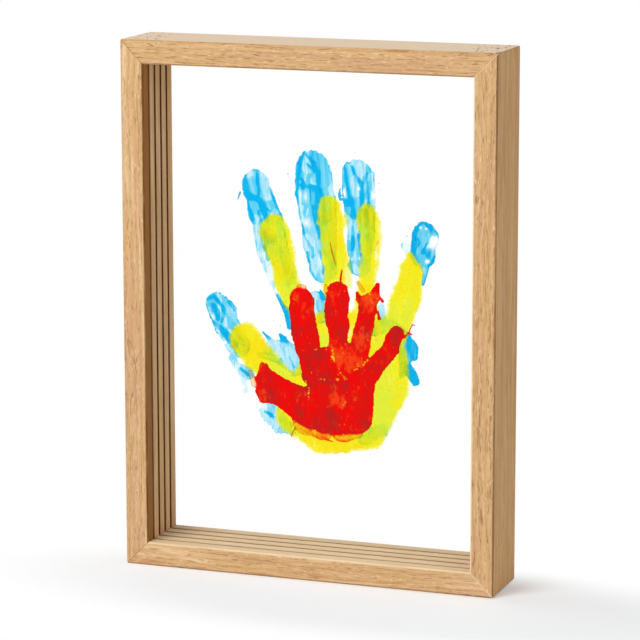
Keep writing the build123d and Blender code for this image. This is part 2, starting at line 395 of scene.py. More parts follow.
magnet_tree, given = geometry_tree("disc_magnets", {
    "Radius": "Float", "Height": "Float", "Chamfer": "Float", "Sides": "Int", "Count": "Int",
    "Spacing": "Float", "Centre": "Vector", "Turn": "Vector", "Finish": "Material"})
narrow = calc(magnet_tree, "SUBTRACT", given["Radius"], given["Chamfer"])
blank = add(magnet_tree, "GeometryNodeMeshCircle", {"Vertices": given["Sides"], "Radius": narrow},
            fill_type="NGON").outputs[0]
body, top = blank, None
both_chamfers = calc(magnet_tree, "MULTIPLY", given["Chamfer"], 2.0)
straight = calc(magnet_tree, "SUBTRACT", given["Height"], both_chamfers)
swell = calc(magnet_tree, "DIVIDE", given["Radius"], narrow)
shrink = calc(magnet_tree, "DIVIDE", narrow, given["Radius"])
for rise, scale in ((given["Chamfer"], swell), (straight, None), (given["Chamfer"], shrink)):
    sockets = {"Mesh": body, "Offset Scale": rise}
    if top:
        sockets["Selection"] = top
    extruded = add(magnet_tree, "GeometryNodeExtrudeMesh", sockets).outputs
    body, top = extruded["Mesh"], extruded["Top"]
    if scale:
        body = add(magnet_tree, "GeometryNodeScaleElements",
                   {"Geometry": body, "Selection": top, "Scale": scale}).outputs[0]
under = add(magnet_tree, "GeometryNodeFlipFaces", {"Mesh": blank}).outputs[0]
disc = add(magnet_tree, "GeometryNodeJoinGeometry")
for part in (under, body):
    magnet_tree.links.new(part, disc.inputs[0])
disc = add(magnet_tree, "GeometryNodeMergeByDistance",
           {"Geometry": disc.outputs[0], "Distance": weld_distance}).outputs[0]
half_height = calc(magnet_tree, "MULTIPLY", given["Height"], -0.5)
drop = add(magnet_tree, "ShaderNodeCombineXYZ", {"Z": half_height}).outputs[0]
disc = add(magnet_tree, "GeometryNodeTransform", {"Geometry": disc, "Translation": drop}).outputs[0]
apart = add(magnet_tree, "ShaderNodeCombineXYZ", {"Y": given["Spacing"]}).outputs[0]
row = add(magnet_tree, "GeometryNodeMeshLine", {"Count": given["Count"], "Offset": apart}).outputs[0]
pair = add(magnet_tree, "GeometryNodeInstanceOnPoints",
           {"Points": row, "Instance": disc, "Rotation": given["Turn"]}).outputs[0]
gaps = calc(magnet_tree, "SUBTRACT", given["Count"], 1.0)
back = calc(magnet_tree, "MULTIPLY", calc(magnet_tree, "MULTIPLY", gaps, given["Spacing"]), -0.5)
shift = add(magnet_tree, "ShaderNodeCombineXYZ", {"Y": back}).outputs[0]
shift = vector(magnet_tree, "ADD", given["Centre"], shift)
pair = add(magnet_tree, "GeometryNodeTransform", {"Geometry": pair, "Translation": shift}).outputs[0]
finish_tree(magnet_tree, pair, given["Finish"])

for node, body_name, lean in (("left_stile_magnets", "frame", 1), ("right_stile_magnets", "frame", -1),
                              ("top_rail_left_magnets", "lift_off_rail", 1),
                              ("top_rail_right_magnets", "lift_off_rail", -1)):
    low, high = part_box(node)
    spread = high.y - low.y - 2 * magnet_radius
    magnets = grown(node.replace("magnets", "magnet_discs"), magnet_tree, bpy.data.meshes.new(node), {
        "Radius": magnet_radius, "Height": magnet_height, "Chamfer": magnet_chamfer,
        "Sides": magnet_sides, "Count": magnet_count, "Spacing": spread, "Centre": (low + high) / 2,
        "Turn": (0.0, lean * mitre_turn, 0.0), "Finish": plating})
    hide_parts(node)
    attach(magnets, body_name)


# The four clear sheets: cast acrylic, 2 mm thick, laser-cut to size with polished edges. They
# slide down the grooves from above and stand in the bottom groove.
acrylic_edge = (196, 224, 226)
acrylic_gloss = 1.06
wipe_size = (26 * mm, 26 * mm, 26 * mm)

acrylic = bpy.data.materials.new("clear_acrylic")
acrylic.use_nodes = True
tree = acrylic.node_tree
tree.nodes.clear()
place = add(tree, "ShaderNodeTexCoord").outputs["Object"]
facing = add(tree, "ShaderNodeNewGeometry").outputs["True Normal"]
frontward = calc(tree, "ABSOLUTE", add(tree, "ShaderNodeSeparateXYZ", {0: facing}).outputs["Y"])
edge_share = ease(tree, frontward, 0.3, 0.6, 1.0, 0.0)
clear = add(tree, "ShaderNodeBsdfTransparent", {0: (1.0, 1.0, 1.0, 1.0)})
edge_clear = add(tree, "ShaderNodeBsdfTransparent", {0: colour(*acrylic_edge)})
sheet_body = add(tree, "ShaderNodeMixShader",
                 {0: edge_share, 1: clear.outputs[0], 2: edge_clear.outputs[0]})
wipes = mottle(tree, place, wipe_size, 2.0, detail=3.0).outputs[0]
gloss = add(tree, "ShaderNodeBsdfGlossy", {"Roughness": ease(tree, wipes, 0.45, 0.8, 0.01, 0.08)})
mirror = add(tree, "ShaderNodeFresnel", {"IOR": acrylic_gloss})
surface = add(tree, "ShaderNodeMixShader",
              {0: mirror.outputs[0], 1: sheet_body.outputs[0], 2: gloss.outputs[0]})
shadow = add(tree, "ShaderNodeLightPath").outputs["Is Shadow Ray"]
through = add(tree, "ShaderNodeMixShader", {0: shadow, 1: surface.outputs[0], 2: clear.outputs[0]})
add(tree, "ShaderNodeOutputMaterial", {0: through.outputs[0]})
dress(acrylic, "front_sheet", "second_sheet", "third_sheet", "back_sheet")


# The red print, the smallest: a baby's hand pressed onto the front face of the front sheet. The
# paint is thick, with crisp ragged edges, and thin where the fingers meet the palm and below it.
red_length = 94 * mm
red_heel = (14 * mm, 87.9 * mm)
red_limbs = (
    ((-0.462, 0.404, 0.044, 0.9), (-0.441, 0.325, 0.080, 1.0), (-0.36, 0.263, 0.098, 1.0),
     (-0.19, 0.179, 0.105, 1.0)),
    ((-0.206, 0.862, 0.078, 1.0), (-0.196, 0.70, 0.088, 0.95), (-0.150, 0.52, 0.085, 0.9),
     (-0.112, 0.405, 0.100, 0.9)),
    ((0.035, 0.923, 0.077, 0.9), (0.03, 0.767, 0.082, 0.95), (0.043, 0.618, 0.065, 0.85),
     (0.05, 0.47, 0.080, 0.75)),
    ((0.242, 0.882, 0.056, 0.6), (0.224, 0.767, 0.063, 0.9), (0.185, 0.61, 0.068, 0.95),
     (0.16, 0.47, 0.080, 0.75)),
    ((0.420, 0.682, 0.053, 1.0), (0.375, 0.575, 0.053, 1.0), (0.29, 0.485, 0.058, 1.0),
     (0.19, 0.37, 0.085, 1.0)),
    ((0.165, 0.925, 0.012, 0.8), (0.178, 0.89, 0.024, 0.8)),
    ((0.298, 0.985, 0.018, 0.9), (0.278, 0.93, 0.030, 0.7)),
    ((0.318, 0.905, 0.006, 0.8), (0.330, 0.885, 0.010, 0.8)),
    ((0.300, 0.815, 0.008, 0.9), (0.308, 0.775, 0.014, 0.9)),
    ((0.476, 0.666, 0.004, 0.6), (0.503, 0.697, 0.003, 0.6), (0.515, 0.728, 0.003, 0.6),
     (0.526, 0.750, 0.003, 0.7), (0.542, 0.747, 0.003, 0.6)),
    ((0.500, 0.693, 0.003, 0.7), (0.522, 0.688, 0.005, 0.8)),
    ((-0.500, 0.250, 0.020, 1.0), (-0.468, 0.212, 0.032, 1.0), (-0.40, 0.235, 0.045, 1.0)),
    ((-0.222, 0.948, 0.014, 0.15), (-0.190, 0.940, 0.018, 0.15)),
    ((-0.555, 0.375, 0.014, 0.10), (-0.525, 0.300, 0.022, 0.12)),
    ((0.171, 0.993, 0.010, 0.14), (0.204, 0.945, 0.014, 0.14)),
    ((-0.045, 0.965, 0.010, 0.10), (-0.040, 0.930, 0.018, 0.10)),
    ((-0.245, 0.060, 0.022, 0.20), (-0.205, 0.030, 0.032, 0.24), (-0.16, 0.012, 0.024, 0.22)),
    ((-0.125, 0.010, 0.024, 0.20), (-0.07, -0.010, 0.020, 0.20), (-0.03, 0.004, 0.020, 0.12)),
    ((0.03, -0.004, 0.018, 0.14), (0.075, -0.008, 0.016, 0.16), (0.11, 0.008, 0.020, 0.10)),
    ((0.13, 0.005, 0.022, 0.10), (0.19, 0.02, 0.012, 0.12)),
    ((-0.17, 0.030, 0.002, 0.6), (-0.12, 0.000, 0.003, 0.6), (-0.08, -0.028, 0.002, 0.5)),
    ((0.01, 0.000, 0.002, 0.5), (0.05, -0.028, 0.003, 0.5), (0.10, -0.030, 0.002, 0.4),
     (0.13, -0.010, 0.002, 0.4)),
    ((-0.24, 0.05, 0.004, 0.4), (-0.27, 0.00, 0.003, 0.4), (-0.275, -0.02, 0.007, 0.3)),
    ((-0.10, 0.00, 0.002, 0.5), (-0.03, -0.030, 0.003, 0.5), (0.00, -0.035, 0.003, 0.4)),
    ((0.063, 1.066, 0.004, 0.8), (0.052, 1.000, 0.008, 0.9)),
    ((-0.016, 1.236, 0.002, 0.4), (-0.003, 1.180, 0.004, 0.8), (0.022, 1.096, 0.002, 0.3)),
    ((0.302, 1.262, 0.002, 0.3), (0.272, 1.205, 0.002, 0.3)),
)
red_palm = ((-0.17, 0.16, 0.120), (0.00, 0.125, 0.118), (0.152, 0.14, 0.113), (0.19, 0.34, 0.095),
            (0.14, 0.47, 0.085), (-0.06, 0.472, 0.105), (-0.07, 0.29, 0.085))
red_thin = ((0.07, 0.48, 0.10, 0.34), (0.16, 0.46, 0.05, 0.2), (0.23, 0.90, 0.05, 0.24),
            (0.08, 0.22, 0.05, 0.12))
red_creases = (
    ((-0.099, 0.363, 0.004), (-0.006, 0.361, 0.006), (0.079, 0.375, 0.006)),
    ((0.148, 0.441, 0.005), (0.194, 0.463, 0.007), (0.233, 0.506, 0.004)),
    ((-0.003, 0.568, 0.003), (0.002, 0.486, 0.010)),
    ((-0.181, 0.342, 0.005), (-0.158, 0.285, 0.008), (-0.158, 0.226, 0.003)),
    ((0.117, 0.260, 0.003), (0.048, 0.189, 0.006)),
    ((0.010, 0.112, 0.004), (0.043, 0.076, 0.007)),
    ((0.241, 0.635, 0.006), (0.276, 0.697, 0.006)),
    ((-0.158, 0.072, 0.002), (-0.132, 0.035, 0.003), (-0.100, 0.017, 0.002)),
    ((0.041, 0.409, 0.010), (0.086, 0.375, 0.010)),
    ((-0.30, 0.390, 0.006), (-0.27, 0.360, 0.006)),
)
red_hues = ((-0.23, 0.66, 0.06, 0.55), (-0.12, 0.49, 0.10, 0.5), (0.09, 0.72, 0.05, 0.5),
            (0.20, 0.62, 0.08, -0.3), (0.255, 0.91, 0.07, -1.0), (0.41, 0.67, 0.06, 0.5),
            (0.08, 0.50, 0.10, -0.8), (-0.07, 0.10, 0.08, 0.6), (-0.39, 0.31, 0.06, 0.3),
            (-0.05, 0.41, 0.07, 0.4), (0.06, 0.24, 0.07, -0.45), (0.27, 0.60, 0.03, -0.6),
            (-0.25, 0.88, 0.04, -0.5), (-0.20, 0.86, 0.05, -0.2))
red_cell = 0.42 * mm
film_seat = 0.03 * mm
film_rim = 0.04 * mm
stout = 4.0 * mm
least_wave = 0.12
side_share = 0.64
below_share = 0.10
above_share = 1.30
paint_relief = 0.1 * mm


def cloud(across, up, seed):
    """Smooth noise from -1 to 1, with bumps one unit wide."""
    count = 89
    lattice = np.random.default_rng(seed).uniform(-1, 1, (count, count))
    column, row = np.floor(across).astype(int), np.floor(up).astype(int)
    right, above = across - column, up - row
    right, above = right * right * (3 - 2 * right), above * above * (3 - 2 * above)

    def level(step):
        line = (row + step) % count
        first, second = lattice[line, column % count], lattice[line, (column + 1) % count]
        return first + (second - first) * right

    return level(0) + (level(1) - level(0)) * above


def rough_cloud(across, up, width, height, seed, layers=3):
    """Noise of a given width and height, with finer and finer layers."""
    across, up = across / width, up / height
    total = sum(cloud(across * 2 ** n, up * 2 ** n, seed + 17 * n) / 2 ** n for n in range(layers))
    return total / (2 - 0.5 ** (layers - 1))


def step_up(value, low, high):
    """A smooth step from 0 to 1, as value goes from low to high."""
    share = np.clip((value - low) / (high - low), 0, 1)
    return share * share * (3 - 2 * share)


def span(across, up, start, end):
    """Distance from the line between two round joints, the share of the way along, and the place."""
    run = math.hypot(end[0] - start[0], end[1] - start[1])
    step = ((end[0] - start[0]) / run, (end[1] - start[1]) / run)
    along = (across - start[0]) * step[0] + (up - start[1]) * step[1]
    side = (across - start[0]) * step[1] - (up - start[1]) * step[0]
    share = np.clip(along / run, 0, 1)
    return np.hypot(side, along - share * run), share, side, along


def limb_field(across, up, joints):
    """How far a place lies outside a limb, its place across and along, its girth and its coat."""
    best, done = None, 0.0
    for start, end in zip(joints, joints[1:]):
        far, share, side, along = span(across, up, start, end)
        girth = start[2] + share * (end[2] - start[2])
        coat = start[3] + share * (end[3] - start[3])
        found = np.array([far - girth, side, along + done, girth, coat])
        best = found if best is None else np.where(found[0] < best[0], found, best)
        done += math.hypot(end[0] - start[0], end[1] - start[1])
    return best


def palm_field(across, up, corners):
    """How far a place lies outside the rounded outline of a palm, with the same four values."""
    nearest, inside = None, np.zeros(across.shape, bool)
    for start, end in zip(corners, corners[1:] + corners[:1]):
        far, share = span(across, up, start, end)[:2]
        found = np.array([far, start[2] + share * (end[2] - start[2])])
        nearest = found if nearest is None else np.where(found[0] < nearest[0], found, nearest)
        crosses = (start[1] > up) != (end[1] > up)
        rise = end[1] - start[1] or 1.0
        inside ^= crosses & (across < start[0] + (up - start[1]) * (end[0] - start[0]) / rise)
    far, girth = nearest
    whole = np.ones(across.shape)
    return np.array([np.where(inside, -far, far) - girth, across, up, stout * whole, whole])


def placed(joints, heel, length):
    """Joints that are written as shares of a hand's length, at their places on the sheet."""
    return tuple((heel[0] + x * length, heel[1] + z * length, reach * length, *rest)
                 for x, z, reach, *rest in joints)


def hand_field(across, up, heel, length, limbs, palm, web, streak_size, seed):
    """The soft union of a hand's limbs: the gap outside it, and its girth, coat and brush streaks."""
    fields = [limb_field(across, up, placed(joints, heel, length)) for joints in limbs]
    if palm:
        fields.append(palm_field(across, up, placed(palm, heel, length)))
    gaps = np.array([field[0] for field in fields])
    nearest = gaps.min(0)
    weights = np.exp((nearest - gaps) / web)
    total = weights.sum(0)
    streaks = [rough_cloud(field[1], field[2], *streak_size, seed + n)
               for n, field in enumerate(fields)]
    blended = [sum(w * value for w, value in zip(weights, values)) / total
               for values in ([f[3] for f in fields], [f[4] for f in fields], streaks)]
    return nearest - web * np.log(total), *blended


def stroke_field(across, up, heel, length, strokes):
    """How far a place lies outside the nearest of some strokes, each a row of round joints."""
    rows = [placed([(*joint, 1.0) for joint in joints], heel, length) for joints in strokes]
    return np.min([limb_field(across, up, joints)[0] for joints in rows], axis=0)


def spots(across, up, heel, length, marks):
    """A sum of soft round spots, each with its place, its reach and its share."""
    return sum(share * np.exp(-((across - heel[0] - x * length) ** 2
                                + (up - heel[1] - z * length) ** 2)
                              / (reach * length) ** 2) for x, z, reach, share in marks)


def places(heel, length, cell):
    """A grid of places that takes in a whole hand and the paint thrown round it."""
    left, right = heel[0] - side_share * length, heel[0] + side_share * length
    low, high = heel[1] - below_share * length, heel[1] + above_share * length
    return np.meshgrid(np.arange(left, right, cell), np.arange(low, high, cell))


def ragged(across, up, gap, girth, seed, wave, nick):
    """The outline of a print made uneven: by waves, and by small nicks. Thin marks move less."""
    share = np.clip(girth / stout, least_wave, 1)
    gap = gap + share * wave[0] * rough_cloud(across, up, wave[1], wave[1], seed)
    return gap + share * nick[0] * rough_cloud(across, up, nick[1], nick[1], seed + 1)


def film(name, face, across, up, gap, thickness, values):
    """A closed skin of paint in front of a sheet's face, wherever gap is below zero on a grid."""
    cell = across[0, 1] - across[0, 0]
    slope_up, slope_across = np.gradient(gap, cell)
    slope = np.hypot(slope_up, slope_across) + 1e-6
    pull = np.clip(gap / slope, 0, cell) / slope
    inside = gap < 0
    kept = inside[:-1, :-1] | inside[1:, :-1] | inside[:-1, 1:] | inside[1:, 1:]
    used = np.zeros(gap.shape, bool)
    for rows in (slice(0, -1), slice(1, None)):
        for columns in (slice(0, -1), slice(1, None)):
            used[rows, columns] |= kept
    number = np.cumsum(used).reshape(used.shape) - 1
    count = int(used.sum())
    outline = np.stack([(across - pull * slope_across)[used], (up - pull * slope_up)[used]], 1)
    lift = np.where(inside, thickness, film_rim)[used]
    front = np.stack([outline[:, 0], face - film_seat - lift, outline[:, 1]], 1)
    back = np.stack([outline[:, 0], np.full(count, face - film_seat), outline[:, 1]], 1)
    corners = [number[:-1, :-1][kept], number[:-1, 1:][kept],
               number[1:, 1:][kept], number[1:, :-1][kept]]
    faces = [np.stack(corners, 1), np.stack(corners[::-1], 1) + count]
    around = np.pad(kept, 1)
    beside = (around[:-2, 1:-1], around[1:-1, 2:], around[2:, 1:-1], around[1:-1, :-2])
    for n, neighbour in enumerate(beside):
        bare = ~neighbour[kept]
        start, end = corners[n][bare], corners[(n + 1) % 4][bare]
        faces.append(np.stack([start, start + count, end + count, end], 1))
    mesh = bpy.data.meshes.new(name)
    mesh.from_pydata(np.concatenate([front, back]).tolist(), [], np.concatenate(faces).tolist())
    mesh.polygons.foreach_set("use_smooth", np.arange(len(mesh.polygons)) < 2 * len(faces[0]))
    for key, value in values.items():
        mesh.attributes.new(key, "FLOAT", "POINT").data.foreach_set("value", np.tile(value[used], 2))
    piece = bpy.data.objects.new(name, mesh)
    bpy.context.scene.collection.objects.link(piece)
    return piece


def paint_fields(tree, grain_size, seed):
    """What a print's mesh says of its paint, the rim and the load, with a fine brush grain added."""
    rim = add(tree, "ShaderNodeAttribute", attribute_name="rim").outputs["Fac"]
    load = add(tree, "ShaderNodeAttribute", attribute_name="load").outputs["Fac"]
    place = add(tree, "ShaderNodeTexCoord").outputs["Object"]
    size = (grain_size[0], 1.0, grain_size[1])
    grain = mottle(tree, place, size, seed, detail=3.0, rough=0.6).outputs[0]
    return rim, load, grain, place


def paint_output(tree, shader, paint, opacity, filtered, relief):
    """Paint over a clear sheet: solid where thick, a coloured filter where thin. Light passes it."""
    tree.links.new(paint, shader.inputs["Base Color"])
    bump = add(tree, "ShaderNodeBump", {"Height": relief, "Strength": 0.25, "Distance": paint_relief})
    tree.links.new(bump.outputs[0], shader.inputs["Normal"])
    thin = add(tree, "ShaderNodeBsdfTransparent", {0: filtered})
    both = add(tree, "ShaderNodeMixShader", {0: opacity, 1: thin.outputs[0], 2: shader.outputs[0]})
    rays = add(tree, "ShaderNodeLightPath").outputs
    light = calc(tree, "MAXIMUM", rays["Is Shadow Ray"], rays["Is Diffuse Ray"])
    clear = add(tree, "ShaderNodeBsdfTransparent", {0: (1.0, 1.0, 1.0, 1.0)})
    through = add(tree, "ShaderNodeMixShader", {0: light, 1: both.outputs[0], 2: clear.outputs[0]})
    tree.links.new(through.outputs[0], tree.nodes["Material Output"].inputs[0])


def mount(piece, material, slot, body_name, *replaced):
    """Gives a print its paint, and the sheet that carries it."""
    piece.data.materials.clear()
    piece.data.materials.append(material)
    if replaced:
        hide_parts(*replaced)
    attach(piece, body_name)


red_body = (228, 18, 14)
red_bright = (243, 8, 10)
red_deep = (186, 34, 34)
red_warm = (248, 80, 26)
red_stain = (150, 72, 24)
red_film_thin = (255, 242, 216)
red_film_thick = (250, 80, 56)
red_grain_size = (1.2 * mm, 2.6 * mm)
red_patch_size = (10 * mm, 1.0, 14 * mm)
red_warmth_size = (9 * mm, 1.0, 13 * mm)
red_brush_size = (2.2 * mm, 1.0, 4.5 * mm)

red_paint, tree, shader = new_material("red_paint", Roughness=0.5, IOR=1.4, Specular_IOR_Level=0.04)
rim, load, grain, place = paint_fields(tree, red_grain_size, 2.0)
patches = mottle(tree, place, red_patch_size, 1.0, detail=2.5, rough=0.5).outputs[0]
warmth = mottle(tree, place, red_warmth_size, 5.0, detail=4.0, rough=0.6).outputs[0]
load = calc(tree, "ADD", load, calc(tree, "MULTIPLY_ADD", grain, 0.3, -0.15))
hue = add(tree, "ShaderNodeAttribute", attribute_name="hue").outputs["Fac"]
brushed = mottle(tree, place, red_brush_size, 6.0, detail=3.0, rough=0.6).outputs[0]
brushed = calc(tree, "MULTIPLY_ADD", brushed, 2.2, -1.1)
stroked = calc(tree, "ADD", hue, brushed)
tone = calc(tree, "ADD", stroked, calc(tree, "MULTIPLY_ADD", patches, 4.5, -2.25))
heat = calc(tree, "ADD", stroked, calc(tree, "MULTIPLY_ADD", warmth, -4.0, 2.0))
paint = tint(tree, ease(tree, tone, 0.05, 0.75, 0.0, 0.85), red_body, red_deep)
paint = tint(tree, ease(tree, tone, -0.5, -0.05, 0.9, 0.0), paint, red_bright)
paint = tint(tree, ease(tree, heat, -0.9, -0.25, 0.75, 0.0), paint, red_warm)
paint = tint(tree, ease(tree, load, 0.35, 0.75, 0.85, 0.0), paint, red_warm)
near_edge = ease(tree, rim, 0.2 * mm, 0.5 * mm, 1.0, 0.0)
edge_line = product(tree, near_edge, ease(tree, warmth, 0.46, 0.56, 0.0, 0.55))
paint = tint(tree, edge_line, paint, red_stain)
near_rim = ease(tree, rim, 0.2 * mm, 0.6 * mm, 1.0, 0.0)
rim_stain = product(tree, near_rim, ease(tree, load, 0.16, 0.30, 1.0, 0.0))
paint = tint(tree, rim_stain, paint, red_stain)
opacity = ease(tree, load, 0.15, 0.6, 0.06, 0.86)
opacity = calc(tree, "MAXIMUM", opacity, calc(tree, "MULTIPLY", rim_stain, 0.35))
opacity = product(tree, opacity, ease(tree, rim, -0.1 * mm, 0.4 * mm, 0.55, 1.0))
filtered = tint(tree, ease(tree, load, 0.1, 0.7), red_film_thin, red_film_thick)
paint_output(tree, shader, paint, opacity, filtered, calc(tree, "ADD", grain, patches))

across, up = places(red_heel, red_length, red_cell)
gap, girth, coat, streaks = hand_field(across, up, red_heel, red_length, red_limbs, red_palm,
                                       web=0.6 * mm, streak_size=(1.7 * mm, 12 * mm), seed=11)
gap = ragged(across, up, gap, girth, seed=31, wave=(1.3 * mm, 7 * mm), nick=(0.5 * mm, 1.7 * mm))
thin = spots(across, up, red_heel, red_length, red_thin)
load = coat + 0.12 * streaks + 0.16 * rough_cloud(across, up, 5 * mm, 7 * mm, 41)
load = load - thin * (1.0 + 0.9 * rough_cloud(across, up, 2.5 * mm, 3.5 * mm, 42))
crease = stroke_field(across, up, red_heel, red_length, red_creases)
beads = step_up(rough_cloud(across, up, 0.9 * mm, 0.9 * mm, 45, layers=2), 0.0, 0.35)
load = load - 0.75 * beads * np.exp(-(np.clip(crease, 0, None) / (0.4 * mm)) ** 2)
load = load - 0.7 * step_up(cloud(across / (0.9 * mm), up / (0.9 * mm), 46), 0.80, 0.92)
scratches = rough_cloud(across + 0.5 * up, up - 0.4 * across, 0.9 * mm, 4.5 * mm, 43, layers=2)
specks = cloud(across / (1.1 * mm), up / (1.1 * mm), 44)
gap = np.maximum(gap, (scratches - 0.86 + 0.75 * thin) * 1.2 * mm)
gap = np.maximum(gap, (specks - 0.97 + 0.15 * thin) * 4 * mm)
rim_place = np.clip(-gap, 0, None)
hue = spots(across, up, red_heel, red_length, red_hues)
thickness = (0.12 + 0.2 * np.clip(load, 0, 1) + 0.08 * np.exp(-(rim_place / (0.9 * mm)) ** 2)) * mm
red_print = film("red_print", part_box("front_sheet")[0].y, across, up, gap, thickness,
                 {"rim": rim_place, "load": load, "hue": hue})
mount(red_print, red_paint, "red_paint", "front_layer", "red_handprint")


# The specks of paint thrown round each print: flattened drops of different sizes, dry on the
# sheet, thick in the middle. They lie thickest near the print's outline and thin out from it.
drop_sides = 10
drop_bands = 5
speck_thickness = 0.06 * mm
halo_step = 4
clump_size = 14 * mm
least_chance = 0.02

drop_tree, given = geometry_tree("paint_specks", {
    "Density": "Float", "Least size": "Float", "Greatest size": "Float", "Thickness": "Float",
    "Seed": "Int", "Finish": "Material"})
chance = add(drop_tree, "GeometryNodeInputNamedAttribute", {"Name": "chance"},
             data_type="FLOAT").outputs[0]
density = calc(drop_tree, "MULTIPLY", chance, given["Density"])
points = add(drop_tree, "GeometryNodeDistributePointsOnFaces",
             {"Mesh": given["Geometry"], "Density": density, "Seed": given["Seed"]}).outputs["Points"]


def drawn(low, high, order):
    """A number for each speck, drawn between two bounds."""
    seed = add(drop_tree, "ShaderNodeMath", {0: given["Seed"], 1: order}, operation="ADD").outputs[0]
    sockets = {2: low, 3: high, "Seed": seed}
    return add(drop_tree, "FunctionNodeRandomValue", sockets, data_type="FLOAT").outputs[1]


few_large = calc(drop_tree, "POWER", drawn(0.0, 1.0, 1), 3.0)
size = calc(drop_tree, "MULTIPLY_ADD", few_large,
            calc(drop_tree, "SUBTRACT", given["Greatest size"], given["Least size"]),
            given["Least size"])
stretch = calc(drop_tree, "MULTIPLY", size, drawn(0.5, 1.0, 2))
scale = add(drop_tree, "ShaderNodeCombineXYZ",
            {"X": size, "Y": given["Thickness"], "Z": stretch}).outputs[0]
spin = add(drop_tree, "ShaderNodeCombineXYZ", {"Y": drawn(0.0, math.pi, 3)}).outputs[0]
for key, value in (("load", drawn(0.35, 1.0, 4)), ("rim", 1.0 * mm)):
    points = add(drop_tree, "GeometryNodeStoreNamedAttribute",
                 {"Geometry": points, "Name": key, "Value": value},
                 data_type="FLOAT", domain="POINT").outputs[0]
drop = add(drop_tree, "GeometryNodeMeshUVSphere",
           {"Segments": drop_sides, "Rings": drop_bands, "Radius": 1.0}).outputs[0]
specks = add(drop_tree, "GeometryNodeInstanceOnPoints",
             {"Points": points, "Instance": drop, "Rotation": spin, "Scale": scale}).outputs[0]
finish_tree(drop_tree, specks, given["Finish"])


def spatter(name, face, across, up, gap, reach, near, seed, density, sizes, material, slot, body_name):
    """Specks round a print's outline, up to reach from it and no nearer to it than near."""
    every = slice(None, None, halo_step)
    x, z, off = across[every, every], up[every, every], gap[every, every]
    clumps = np.clip(rough_cloud(x, z, clump_size, clump_size, seed) + 0.25, 0, 1)
    chance = np.where(off > near, np.exp(-off / reach), 0.0) * clumps
    height, width = x.shape
    place = np.stack([x.ravel(), np.full(x.size, face - film_seat - speck_thickness), z.ravel()], 1)
    corner = (np.arange(height - 1)[:, None] * width + np.arange(width - 1)).ravel()
    quads = np.stack([corner, corner + 1, corner + width + 1, corner + width], 1)
    quads = quads[(chance.ravel()[quads] > least_chance).all(1)]
    halo = bpy.data.meshes.new(name)
    halo.from_pydata(place.tolist(), [], quads.tolist())
    halo.attributes.new("chance", "FLOAT", "POINT").data.foreach_set("value", chance.ravel())
    piece = grown(name, drop_tree, halo, {
        "Density": density, "Least size": sizes[0], "Greatest size": sizes[1],
        "Thickness": speck_thickness, "Seed": seed, "Finish": material})
    mount(piece, material, slot, body_name)


spatter("red_specks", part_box("front_sheet")[0].y, across, up, gap, reach=2.4 * mm, near=0.7 * mm,
        seed=3, density=60000.0, sizes=(0.10 * mm, 0.5 * mm), material=red_paint, slot="red_paint",
        body_name="front_layer")


# The yellow print: an older child's hand, on the front face of the second sheet. The paint is
# even and half clear, so that the blue behind turns it green, and its edges feather out.
yellow_length = 156 * mm
yellow_heel = (5 * mm, 74.9 * mm)
yellow_limbs = (
    ((-0.316, 0.418, 0.065, 0.9), (-0.254, 0.348, 0.063, 0.9), (-0.17, 0.279, 0.054, 0.8),
     (-0.08, 0.21, 0.066, 0.8)),
    ((-0.199, 0.850, 0.060, 0.7), (-0.162, 0.74, 0.052, 0.8), (-0.138, 0.62, 0.047, 0.8),
     (-0.080, 0.50, 0.040, 0.6)),
    ((0.026, 0.954, 0.045, 0.8), (0.037, 0.85, 0.048, 0.95), (0.047, 0.72, 0.046, 0.8),
     (0.05, 0.50, 0.048, 0.6)),
    ((0.176, 0.932, 0.044, 0.8), (0.184, 0.84, 0.040, 0.8), (0.182, 0.775, 0.031, 0.8),
     (0.177, 0.70, 0.038, 0.8), (0.17, 0.50, 0.046, 0.9)),
    ((0.345, 0.785, 0.016, 0.7), (0.352, 0.725, 0.045, 0.9), (0.333, 0.64, 0.058, 0.9),
     (0.305, 0.54, 0.053, 0.7), (0.27, 0.46, 0.060, 0.6)),
    ((0.092, 0.925, 0.007, 0.05), (0.090, 0.90, 0.009, 0.08)),
    ((0.088, 0.75, 0.016, 0.10), (0.098, 0.70, 0.020, 0.12), (0.105, 0.655, 0.010, 0.12)),
    ((0.216, 0.90, 0.008, 0.1), (0.222, 0.82, 0.010, 0.1), (0.218, 0.745, 0.004, 0.3)),
    ((-0.024, 0.890, 0.004, 0.9), (0.000, 0.885, 0.014, 0.9)),
)
yellow_palm = ((-0.10, 0.15, 0.095), (0.00, 0.078, 0.083), (0.170, 0.112, 0.084),
               (0.268, 0.29, 0.084), (0.265, 0.47, 0.060), (0.12, 0.51, 0.055),
               (0.00, 0.500, 0.050), (-0.075, 0.25, 0.050))
yellow_hues = ((0.03, 0.00, 0.13, 0.9), (-0.29, 0.39, 0.06, 0.8), (-0.17, 0.29, 0.05, -0.5),
               (0.06, 0.84, 0.04, 0.7), (0.20, 0.20, 0.10, -0.8), (0.27, 0.34, 0.06, -0.3),
               (-0.16, 0.70, 0.04, 0.6), (-0.13, 0.58, 0.05, -0.5), (0.175, 0.95, 0.03, 0.7),
               (0.15, 0.86, 0.03, -0.7), (0.36, 0.70, 0.05, 0.3), (0.31, 0.56, 0.06, -0.5),
               (-0.21, 0.84, 0.03, 0.5), (-0.17, 0.86, 0.03, -0.5), (0.00, 0.88, 0.03, -0.6),
               (0.17, 0.62, 0.06, 0.5), (0.055, 0.92, 0.030, 0.7), (0.01, 0.94, 0.02, -0.6),
               (-0.01, 0.50, 0.03, 0.6), (0.00, 0.43, 0.03, -0.7))
yellow_thin = ((-0.01, 0.47, 0.06, 0.25), (0.11, 0.49, 0.05, 0.3), (0.22, 0.46, 0.06, 0.2),
               (0.07, 0.66, 0.03, 0.2))
